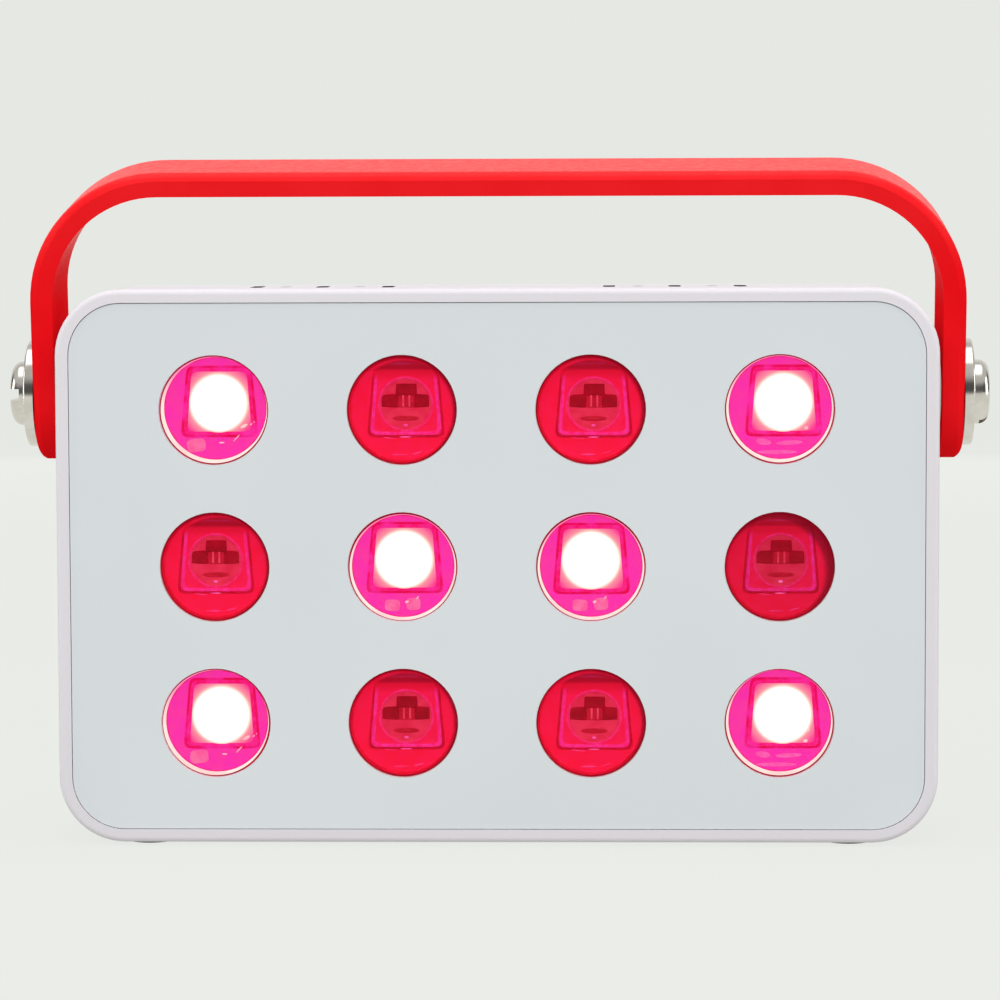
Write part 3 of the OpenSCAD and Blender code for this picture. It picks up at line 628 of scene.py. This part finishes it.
# An unlit cup's parts in mm. The places move with the package
PADS = (  # kind, left, right, low, high, top above VIEW, bevel
    ("pad", -1.6, 3.4, 3.0, 6.0, -0.05, 0.45),
    ("pad", -5.1, -0.9, 0.3, 3.6, -0.1, 0.45),
    ("pad", 2.6, 6.4, 0.3, 3.6, -0.1, 0.45),
    ("pad_dim", -1.0, 2.7, 0.4, 3.2, -0.25, 0.2),
)
WIRE_PLACES = (0.2, 1.6)
WIRE_HIGH, WIRE_LOW = (3.2, -0.15), (0.7, -0.25)  # height on the cup, and level above VIEW
# Marks in an unlit cup: a dark mark, painted glints and a painted sheen
CUP_MARKS = (  # kind, centre, half size, level above VIEW, rise, turn
    ("pad_dim", (0.75, -2.1), (3.5, 0.6), -0.42, 0.2, 0.0),
    ("painted_glint", (0.75, -3.6), (0.5, 0.28), -0.2, 0.15, 0.0),
    ("painted_glint", (0.7, -6.25), (1.3, 0.14), -0.22, 0.12, 0.0),
    ("sheen", (-2.8, -6.5), (1.6, 0.12), -0.22, 0.1, -0.1),
)
# Reflections on the lens itself, which stay in place
LENS_MARKS = (
    ("sheen", (-0.6, -10.3), (1.8, 0.2), -0.22, 0.1, 0.0),
    ("sheen", (3.4, -9.9), (1.2, 0.16), -0.22, 0.1, 0.3),
    ("sheen", (0.2, 10.4), (3.2, 0.14), -0.22, 0.1, 0.0),
)


def dark_chips(piece, mats, du, dv):
    """Pads, two bond wires and small marks, in an unlit cup; the marks include painted glints and
    painted reflections.
    """
    for kind, left, right, low, high, top, bevel in PADS:
        block(piece, mats[kind], left + du, right + du, low + dv, high + dv,
              VIEW - 0.5, VIEW + top, bevel)
    for place in WIRE_PLACES:
        start, end = [(place + du, height + dv, VIEW + level)
                      for height, level in (WIRE_HIGH, WIRE_LOW)]
        bond_wire(piece, mats["wire"], start, end)
    for marks, shift in ((CUP_MARKS, (du, dv)), (LENS_MARKS, (0.0, 0.0))):
        for kind, centre, size, level, rise, turn in marks:
            centre = (centre[0] + shift[0], centre[1] + shift[1])
            mound(piece, mats[kind], centre, size, VIEW + level, rise, turn)


# Soft painted reflections and glints around the glare in three arrangements, as (kind, centre, half
# size, turn)
GLARE_MARKS = {
    "left": (
        ("patch", (-4.2, -8.1), (2.1, 1.5), 0.1),
        ("painted_glint", (1.6, -7.5), (0.6, 0.16), 0.0),
        ("painted_glint", (6.7, -3.7), (0.9, 0.35), 0.5),
        ("painted_glint", (8.6, -3.1), (0.7, 0.14), 0.7),
        ("painted_glint", (5.0, -6.4), (1.1, 0.12), 0.8),
    ),
    "middle": (
        ("patch", (-2.5, -9.0), (1.7, 1.3), -0.05),
        ("patch", (2.3, -8.7), (1.6, 1.4), 0.05),
        ("painted_glint", (0.9, -8.2), (0.5, 0.3), 0.3),
        ("painted_glint", (3.2, -7.3), (0.5, 0.16), 0.9),
    ),
    "faint": (
        ("haze", (-3.6, -7.5), (1.7, 0.7), -0.15),
        ("haze", (2.2, -7.7), (3.0, 0.5), 0.05),
        ("haze", (-0.6, -9.8), (4.6, 0.45), 0.0),
        ("painted_glint", (6.6, -1.6), (0.35, 0.7), -0.2),
        ("painted_glint", (6.0, -4.3), (0.5, 0.4), 0.2),
    ),
}


def glare_marks(piece, mats, marks):
    """Painted reflections and glints as low mounds on the package near its middle height, and on
    the field above and below.
    """
    for kind, centre, size, turn in marks:
        base = VIEW + (0.22 if abs(centre[1]) < 5 else -0.24)
        power = 4.0 if kind == "patch" else 2.0
        mound(piece, mats[kind], centre, size, base, 0.08, turn, power)


# Shade inside an unlit window, as (reach from the right, depth, least depth anywhere)
PLAIN_SHADE = (1.3, 0.8, 0.0)
DEEP_SHADE = (3.4, 0.85, 0.24)


def infrared_materials(side_shade):
    """Unlit windows, whose red glow is painted light from the lit ones. Painted shade darkens them
    from the upper right, more strongly on one of them.
    """
    reach, depth, least = side_shade

    # Painted shade: darker towards the upper right edge, with a painted shadow band under the top
    # of the rim
    def shade(s, tone):
        place = place_on(s, WINDOW_UV)
        away = distance_from(s, place, -0.35 * reach, -0.4 * reach)
        edge = s.span(away, 12.0 - 0.45 * reach, 12.9 - 0.1 * reach, 0.0, depth)
        inside = s.span(distance_from(s, place, 0.6, 0.0), 11.6, 10.8)
        brow_shadow = s.math("MULTIPLY", s.span(place[1], 8.4, 9.6), inside)
        dark = s.math("MAXIMUM", edge, s.math("MULTIPLY", brow_shadow, 0.62))
        return s.blend(s.math("MAXIMUM", dark, least), tone, rgb(118, 0, 22))

    # Painted shade: the package's top edge fades into a darker red under the top of the rim
    def shade_package_top(s, tone):
        height = place_on(s, PACKAGE_UV)[1]
        return shade(s, s.blend(s.span(height, 6.2, 8.4), tone, rgb(238, 8, 52)))

    tag = f"ir{int(10 * reach)}"

    def surface(part, colour, other, **settings):
        return light_surface(f"{tag}_{part}", colour, other, **{"shade": shade, **settings})

    return {
        "outline": surface("outline", rgb(150, 0, 26), rgb(180, 8, 34)),
        # Painted shade: the rim is a dark crescent, thickest at the top
        "rim": surface("rim", rgb(232, 6, 44), rgb(206, 4, 36)),
        "inner_line": surface("inner_line", rgb(255, 18, 66), rgb(240, 8, 52)),
        "field": surface("field", rgb(255, 18, 72), rgb(255, 12, 60)),
        # Painted shade beside the package's raised edge
        "wall_shade": surface("wall_shade", rgb(218, 0, 46), rgb(196, 0, 36), shade=shade_package_top),
        "line": surface("line", rgb(255, 48, 150), rgb(255, 24, 110), shade=shade_package_top, patch=0.8),
        "floor": surface("floor", rgb(255, 22, 78), rgb(252, 16, 66), shade=shade_package_top),
        "cup_line": surface("cup_line", rgb(255, 44, 126), rgb(248, 28, 92), patch=0.8),
        "cup": surface("cup", rgb(238, 46, 82), rgb(228, 32, 70)),
        "pad": surface("pad", rgb(172, 0, 26), rgb(150, 0, 18), patch=0.5),
        "pad_dim": surface("pad_dim", rgb(204, 18, 46), rgb(188, 8, 36), patch=0.5),
        "wire": surface("wire", rgb(250, 76, 104), rgb(236, 52, 84)),
        # Painted glints, and a painted sheen of reflected light
        "painted_glint": surface("painted_glint", rgb(255, 120, 200), rgb(255, 70, 160), shade=None),
        "sheen": surface("sheen", rgb(255, 64, 140), rgb(255, 40, 104)),
    }


def red_materials():
    """Lit windows: a white glare that fades through peach into magenta, with painted light around
    it on the floor, rim and field.
    """

    # Painted light of the glare on the package floor: near white beside it, through peach into
    # magenta
    def halo(s, tone):
        away = distance_from(s, place_on(s, PACKAGE_UV), *GLARE_CENTRE)
        inner = s.blend(s.span(away, 6.4, 7.3), rgb(255, 214, 202), rgb(255, 146, 168))
        return s.blend(s.span(away, 6.9, 9.2), inner, tone)

    def bloom(s, tone):
        away = distance_from(s, place_on(s, PACKAGE_UV), *GLARE_CENTRE)
        return s.blend(s.span(away, 5.9, 6.9), tone, rgb(255, 180, 166))

    def soft_line(s, tone):
        return s.blend(s.span(s.noise(0.22, detail=2), 0.42, 0.75), tone, rgb(255, 44, 168))

    # Painted reflection on the rim: cream low down, pinker towards the top
    def crescent(s, tone):
        height = place_on(s, WINDOW_UV)[1]
        return s.blend(s.span(height, 1.0, 10.0), tone, rgb(255, 150, 190))

    def surface(part, colour, other, **settings):
        return light_surface(f"lit_{part}", colour, other, **{"own": 0.8, **settings})

    return {
        "outline": surface("outline", rgb(178, 10, 52), rgb(150, 16, 40), own=0.5),
        # Painted reflection: the rim is a bright glowing crescent, thickest low down
        "rim": surface("rim", rgb(255, 246, 236), rgb(255, 222, 216), own=0.9, patch=0.12,
                       shade=crescent),
        "inner_line": surface("inner_line", rgb(236, 10, 112), rgb(255, 60, 150), patch=0.5),
        "field": surface("field", rgb(255, 48, 176), rgb(255, 56, 166)),
        # Painted shade beside the package's raised edge, in soft blotches
        "wall_shade": surface("wall_shade", rgb(244, 0, 100), rgb(232, 0, 76), shade=soft_line),
        "line": surface("line", rgb(248, 8, 108), rgb(255, 36, 140), patch=0.8, shade=soft_line),
        "floor": surface("floor", rgb(255, 72, 148), rgb(255, 52, 150), own=0.9, shade=halo),
        "glare": surface("glare", rgb(255, 255, 250), rgb(255, 254, 246), own=1.3, shade=bloom),
        "patch": surface("patch", rgb(255, 118, 172), rgb(255, 92, 160), patch=0.6),
        "haze": surface("haze", rgb(255, 104, 186), rgb(255, 86, 176), patch=0.6),
        # Painted glints
        "painted_glint": surface("painted_glint", rgb(255, 214, 206), rgb(255, 180, 196), own=1.0),
    }


# Small shifts of each package inside its window, in mm, row by row
SHIFTS = {
    (0, 0): (0.3, 0.1), (0, 1): (0.0, 0.0), (0, 2): (-0.1, -0.1), (0, 3): (0.15, 0.1),
    (1, 0): (-0.8, 0.05), (1, 1): (-0.45, 0.15), (1, 2): (-0.7, -0.1), (1, 3): (-0.45, 0.0),
    (2, 0): (0.3, 0.15), (2, 1): (-0.2, 0.0), (2, 2): (-0.1, -0.1), (2, 3): (0.1, 0.3),
}
SHADED_WINDOW = (1, 3)  # the unlit window with the deepest shade

# How far the lens rim's outer and inner edges sit off centre in mm: they make a painted dark
# crescent in unlit windows, a painted bright reflection in lit ones
DARK_RIM = ((-0.02, 0.12), (-0.05, 0.0))
LIT_RIMS = {
    (0, 0): ((0.0, 0.02), (0.2, 0.3)), (0, 3): ((0.0, 0.04), (0.14, 0.28)),
    (1, 1): ((0.0, -0.17), (0.02, 0.0)), (1, 2): ((0.0, -0.15), (0.06, 0.04)),
    (2, 0): ((-0.16, -0.03), (0.0, 0.16)), (2, 3): ((0.0, 0.04), (0.16, 0.28)),
}
MARKS = {0: "left", 1: "middle", 2: "middle", 3: "faint"}  # by column


def build_windows():
    windows = [(row, column) for row in range(ROWS) for column in range(COLUMNS)]
    red = [w for w in windows if w in RED_WINDOWS]
    infrared = [w for w in windows if w not in RED_WINDOWS]
    clear = lens_clear()
    lit = red_materials()
    plain, shaded = infrared_materials(PLAIN_SHADE), infrared_materials(DEEP_SHADE)
    for kind, places in (("red", red), ("infrared", infrared)):
        glass = lens_glass(f"{kind}_lens_fronts", places, clear)
        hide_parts(f"lenses_{kind}")
        sets = [lit] if kind == "red" else [plain, shaded]
        view = Piece(f"{kind}_light_views", [m for mats in sets for m in mats.values()])
        for place in places:
            view.at(window_centre(*place), SHIFTS[place])
            mats = shaded if place == SHADED_WINDOW else sets[0]
            light_view(view, mats, SHIFTS[place], LIT_RIMS.get(place, DARK_RIM))
            if kind == "red":
                glare_marks(view, mats, GLARE_MARKS[MARKS[place[1]]])
        view.finish()


# ---- Symbols on the buttons ------------------------------------------------------------------

SYMBOL_SHARE = 0.26  # the symbol's radius as a share of the button's width
SYMBOL_SUNK, SYMBOL_PROUD = 0.05, 0.12  # mm below and above the button's face
RING_LINE, HAND_LINE = 0.45, 0.4  # line widths in mm
ARC_STEPS = 28


def bar(piece, material, start, end, width, base, top):
    """A straight raised line between two points."""
    along = Vector((end[0] - start[0], end[1] - start[1])).normalized()
    side = Vector((-along.y, along.x)) * width / 2

    def corners(w):
        ends = ((start, 1), (start, -1), (end, -1), (end, 1))
        return [(tip[0] + sign * side.x, tip[1] + sign * side.y, w) for tip, sign in ends]

    low, high = piece.loop(corners(base)), piece.loop(corners(top))
    piece.band(low, high, material)
    piece.face(high, material)


def arc(piece, material, radius, width, first, last, base, top):
    """A raised line along a circle, from one angle to another in degrees."""
    inner, outer = radius - width / 2, radius + width / 2
    section = ((outer, base), (outer, top), (inner, top), (inner, base))
    sections = []
    for i in range(ARC_STEPS + 1):
        angle = math.radians(first + (last - first) * i / ARC_STEPS)
        across, along = math.cos(angle), math.sin(angle)
        sections.append([piece.vertex(reach * across, reach * along, w) for reach, w in section])
    for one, other in zip(sections, sections[1:]):
        for k in range(3):
            piece.face((one[k], other[k], other[k + 1], one[k + 1]), material)
    piece.face(sections[0], material)
    piece.face(list(reversed(sections[-1])), material)


def button_symbols():
    """A switch sign on one button and a clock on the other, a little proud of their faces."""
    ink = moulded("symbol_grey", rgb(84, 88, 94), rgb(98, 102, 108), 0.5)
    for name in ("power_button", "timer_button"):
        low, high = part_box(name)
        piece = Piece(f"{name}_symbol", [ink])
        piece.at(((low.x + high.x) / 2, (low.z + high.z) / 2))
        reach = SYMBOL_SHARE * (high.x - low.x) / MM
        face = -high.y / MM
        base, top = face + SYMBOL_SUNK, face - SYMBOL_PROUD
        if name == "power_button":
            arc(piece, ink, reach, RING_LINE, 125, 415, base, top)
            bar(piece, ink, (0, 0.25 * reach), (0, 1.3 * reach), RING_LINE, base, top)
        else:
            arc(piece, ink, reach, RING_LINE, 0, 360, base, top)
            bar(piece, ink, (0, -0.2), (0, 0.62 * reach), HAND_LINE, base, top)
            bar(piece, ink, (-0.2, 0), (0.5 * reach, 0), HAND_LINE, base, top)
        piece.finish(name)


# ---- Materials on the CAD nodes --------------------------------------------------------

NODE_SHARP = 30  # degrees between faces, from which an edge of a CAD node is sharp


def dress(material, *names):
    """Gives each named node one material and smooth faces between its sharp edges."""
    for name in names:
        node = NODES[name]
        node.data.materials.clear()
        node.data.materials.append(material)
        for polygon in node.data.polygons:
            polygon.use_smooth = True
        node.data.set_sharp_from_angle(angle=math.radians(NODE_SHARP))


WALL_T = 3.0 * MM
VENT_FACE = 60 * MM**2  # the largest face inside a vent is smaller than this


def shade_vents(material):
    """Gives the inside of the vents, through the top and bottom walls, a dark material: painted
    shadow in the holes.
    """
    housing = NODES["housing"]
    low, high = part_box("housing")
    data = housing.data
    data.materials.append(material)
    for polygon in data.polygons:
        place = housing.matrix_world @ polygon.center
        in_wall = 0.1 * WALL_T < min(place.z - low.z, high.z - place.z) < 0.9 * WALL_T
        inside = abs(place.x) < 0.7 * high.x and abs(place.y) < 4 * WALL_T
        if in_wall and inside and abs(polygon.normal.z) < 0.3 and polygon.area < VENT_FACE:
            polygon.material_index = 1


def dress_nodes():
    dress(shell_white(), "housing", "rear_cover")
    shade_vents(moulded("vent_shadow", rgb(84, 62, 68), rgb(66, 50, 56), 0.8, specular=0.1))
    dress(face_plate(), "front_plate")
    dress(handle_red(), "handle")
    NODES["handle"].visible_diffuse = False  # keeps the red from tinting the white shell
    dress(nickel(), "pivot_screws", "pivot_washers")
    dress(plated_screw(), "led_board_screws", "heat_sink_screws", "rear_cover_screws", "fan_screws",
          "control_board_screws")
    dress(bare_aluminium(), "heat_sink")
    dress(brass(), "threaded_inserts")
    dress(moulded("tape_black", rgb(34, 34, 36), rgb(46, 46, 48), 0.8, 1.5, 0.05), "plate_tape")
    dress(moulded("holder_white", rgb(226, 226, 222), rgb(236, 236, 233), 0.45), "lens_holder")
    dress(moulded("emitter_ceramic", rgb(240, 236, 228), rgb(248, 245, 240), 0.35),
          "led_packages_red", "led_packages_infrared")
    dress(light_surface("chip_lit", rgb(255, 120, 120), rgb(255, 90, 100), own=1.0),
          "led_chips_red")
    dress(light_surface("chip_dark", rgb(90, 14, 24), rgb(70, 10, 18), own=0.0),
          "led_chips_infrared")
    dress(circuit_board("board_white", rgb(236, 237, 233), rgb(226, 228, 222)), "led_board")
    dress(moulded("gap_pad", rgb(126, 146, 168), rgb(140, 160, 180), 0.75, 1.0, 0.05),
          "thermal_pad")
    dress(moulded("fan_black", rgb(32, 33, 37), rgb(42, 43, 47), 0.5, 3.0, 0.03),
          "left_fan_frame", "right_fan_frame")
    dress(moulded("rotor_black", rgb(38, 39, 44), rgb(52, 53, 58), 0.36, 2.0, 0.02),
          "left_fan_rotor", "right_fan_rotor")
    dress(circuit_board("board_green", rgb(22, 88, 52), rgb(46, 122, 70)), "control_board")
    dress(ribbed("coil_copper", rgb(120, 66, 34), rgb(190, 112, 62), 1, 1.6), "driver_coils")
    dress(moulded("capacitor_sleeve", rgb(40, 58, 120), rgb(52, 72, 140), 0.3), "driver_capacitors")
    dress(moulded("chip_black", rgb(26, 26, 28), rgb(36, 36, 38), 0.45, 3.0),
          "driver_chips", "button_switches")
    dress(moulded("socket_black", rgb(20, 20, 23), rgb(30, 30, 33), 0.3), "power_socket")
    dress(moulded("button_grey", rgb(196, 200, 204), rgb(206, 210, 214), 0.38),
          "power_button", "timer_button")
    dress(moulded("wire_red", rgb(196, 34, 28), rgb(212, 46, 38), 0.4), "led_wires")
    dress(moulded("wire_black", rgb(30, 30, 32), rgb(44, 44, 46), 0.4), "fan_wires")
    dress(moulded("foot_rubber", rgb(36, 36, 38), rgb(50, 50, 52), 0.7, 2.0, 0.06), "rubber_feet")
    dress(moulded("nylon", rgb(228, 228, 222), rgb(236, 236, 230), 0.4), "friction_washers")


# ---- Stage, light and camera ------------------------------------------------------------

KEY_WATTS = 9.0
TOP_WATTS = 5.0
SIDE_WATTS = 3.0
BACK_WATTS = 3.6
WORLD_LIGHT = 0.6
STAGE_COLOUR = rgb(232, 234, 229)
STAGE_SEEN = 0.93  # own light of the stage as seen directly or mirrored
STAGE_BOUNCE = 0.6  # own light of the stage as it falls on the lamp
STAGE_GLOWS = 0.93  # share of the stage's colour that is its own light
# The studio around the stage, as (sine of the height angle, brightness)
SURROUND = ((-0.04, 0.5), (0.02, 0.12), (0.34, 0.14), (0.6, 1.0))
CAMERA_DOWN, CAMERA_ASIDE, CAMERA_ROLL = 4.37, 1.7, -0.19  # degrees
CAMERA_AWAY = 0.902
CAMERA_LENS, CAMERA_SENSOR = 143.6, 36.0  # mm
AIM_RIGHT, AIM_UP = 0.83 * MM, 15.27 * MM  # from the centre of the front plate


def stage_material():
    """Pale paper, evenly lit, which throws less light on the lamp than it shows."""
    s = Shader("stage_pale", roughness=0.9, specular=0.0)
    tone = s.blend(s.noise(0.004, detail=1), STAGE_COLOUR, rgb(234, 236, 231))
    s.set("Base Color", s.blend(STAGE_GLOWS, tone, (0, 0, 0, 1)))
    falls = s.node("ShaderNodeLightPath").outputs["Is Diffuse Ray"]
    s.glow(tone, s.span(falls, 0.0, 1.0, STAGE_SEEN, STAGE_BOUNCE, smooth=False))
    return s.material


def build_stage():
    """A floor that curves up into a backdrop."""
    half, back, radius, height, near = 3.0, 1.6, 0.8, 2.4, -3.0
    outline = [(near, 0.0), (back, 0.0)]
    steps = 16
    for i in range(1, steps + 1):
        angle = math.pi / 2 * i / steps
        outline.append((back + radius * math.sin(angle), radius * (1 - math.cos(angle))))
    outline.append((back + radius, height))
    data = bpy.data.meshes.new("backdrop")
    verts = [(x, y, z) for y, z in outline for x in (-half, half)]
    faces = [(2 * i, 2 * i + 1, 2 * i + 3, 2 * i + 2) for i in range(len(outline) - 1)]
    data.from_pydata(verts, [], faces)
    for polygon in data.polygons:
        polygon.use_smooth = True
    data.materials.append(stage_material())
    made = bpy.data.objects.new("backdrop", data)
    bpy.context.scene.collection.objects.link(made)


def area_light(name, place, target, width, height, watts, mirrored=True):
    """A rectangular light that faces its target. Metal shows it only if it's mirrored."""
    data = bpy.data.lights.new(name, "AREA")
    data.shape = "RECTANGLE"
    data.size = width
    data.size_y = height
    data.energy = watts
    made = bpy.data.objects.new(name, data)
    made.location = place
    made.rotation_euler = (Vector(target) - Vector(place)).to_track_quat("-Z", "Y").to_euler()
    made.visible_glossy = mirrored
    bpy.context.scene.collection.objects.link(made)


def build_world():
    """Studio surround: bright above, with a dark band at eye level for the metal to mirror."""
    world = bpy.data.worlds.new("studio")
    world.use_nodes = True
    tree = world.node_tree
    tree.nodes.clear()
    out = tree.nodes.new("ShaderNodeOutputWorld")
    sky = tree.nodes.new("ShaderNodeBackground")
    ramp = tree.nodes.new("ShaderNodeValToRGB")
    parts = tree.nodes.new("ShaderNodeSeparateXYZ")
    where = tree.nodes.new("ShaderNodeTexCoord")
    spread = tree.nodes.new("ShaderNodeMapRange")
    tree.links.new(where.outputs["Generated"], parts.inputs[0])
    tree.links.new(parts.outputs[2], spread.inputs[0])
    spread.inputs[1].default_value = -1.0
    spread.inputs[2].default_value = 1.0
    tree.links.new(spread.outputs[0], ramp.inputs[0])
    elements = ramp.color_ramp.elements
    while len(elements) < len(SURROUND):
        elements.new(0.5)
    for element, (height, level) in zip(elements, SURROUND):
        element.position = (height + 1) / 2
        element.color = (level, level, level, 1)
    path = tree.nodes.new("ShaderNodeLightPath")
    seen = tree.nodes.new("ShaderNodeMix")
    seen.data_type = "RGBA"
    tree.links.new(path.outputs["Is Camera Ray"], seen.inputs["Factor"])
    tree.links.new(ramp.outputs[0], seen.inputs["A"])
    seen.inputs["B"].default_value = [STAGE_SEEN / WORLD_LIGHT * value for value in STAGE_COLOUR]
    tree.links.new(seen.outputs["Result"], sky.inputs["Color"])
    sky.inputs["Strength"].default_value = WORLD_LIGHT
    tree.links.new(sky.outputs[0], out.inputs["Surface"])
    bpy.context.scene.world = world


def build_lights():
    middle = (0, 0, FACE_Z)
    area_light("key_light", (0.0, -0.95, 0.75), middle, 1.6, 0.9, KEY_WATTS, mirrored=False)
    area_light("top_light", (0.0, 0.0, 1.2), middle, 1.2, 0.9, TOP_WATTS)
    area_light("back_light", (0.0, 1.3, 0.3), middle, 1.2, 0.5, BACK_WATTS, mirrored=False)
    area_light("left_light", (-1.2, -0.1, 0.35), middle, 0.5, 0.7, SIDE_WATTS)
    area_light("right_light", (1.2, -0.1, 0.35), middle, 0.5, 0.7, SIDE_WATTS)


def build_camera():
    """A long lens a little above and to the right of the lamp, looking slightly down at it."""
    down, aside = math.radians(CAMERA_DOWN), math.radians(CAMERA_ASIDE)
    roll = Quaternion((0, 0, 1), math.radians(CAMERA_ROLL))
    aim = Vector((FACE_X + AIM_RIGHT, -RING_FRONT, FACE_Z + AIM_UP))
    level = math.cos(down)
    forward = Vector((-math.sin(aside) * level, math.cos(aside) * level, -math.sin(down)))
    data = bpy.data.cameras.new("camera")
    data.sensor_width = CAMERA_SENSOR
    data.lens = CAMERA_LENS
    data.clip_start = 0.05
    made = bpy.data.objects.new("camera", data)
    made.location = aim - forward * CAMERA_AWAY
    made.rotation_euler = (forward.to_track_quat("-Z", "Y") @ roll).to_euler()
    bpy.context.scene.collection.objects.link(made)
    bpy.context.scene.camera = made


def write_size():
    """Holds a helper that turns a box into plain lists of numbers."""

    def plain(box):
        return [[float(x) for x in corner] for corner in box]


dress_nodes()
build_windows()
button_symbols()
build_stage()
build_world()
build_lights()
build_camera()
bpy.context.scene.view_settings.view_transform = "Standard"
write_size()
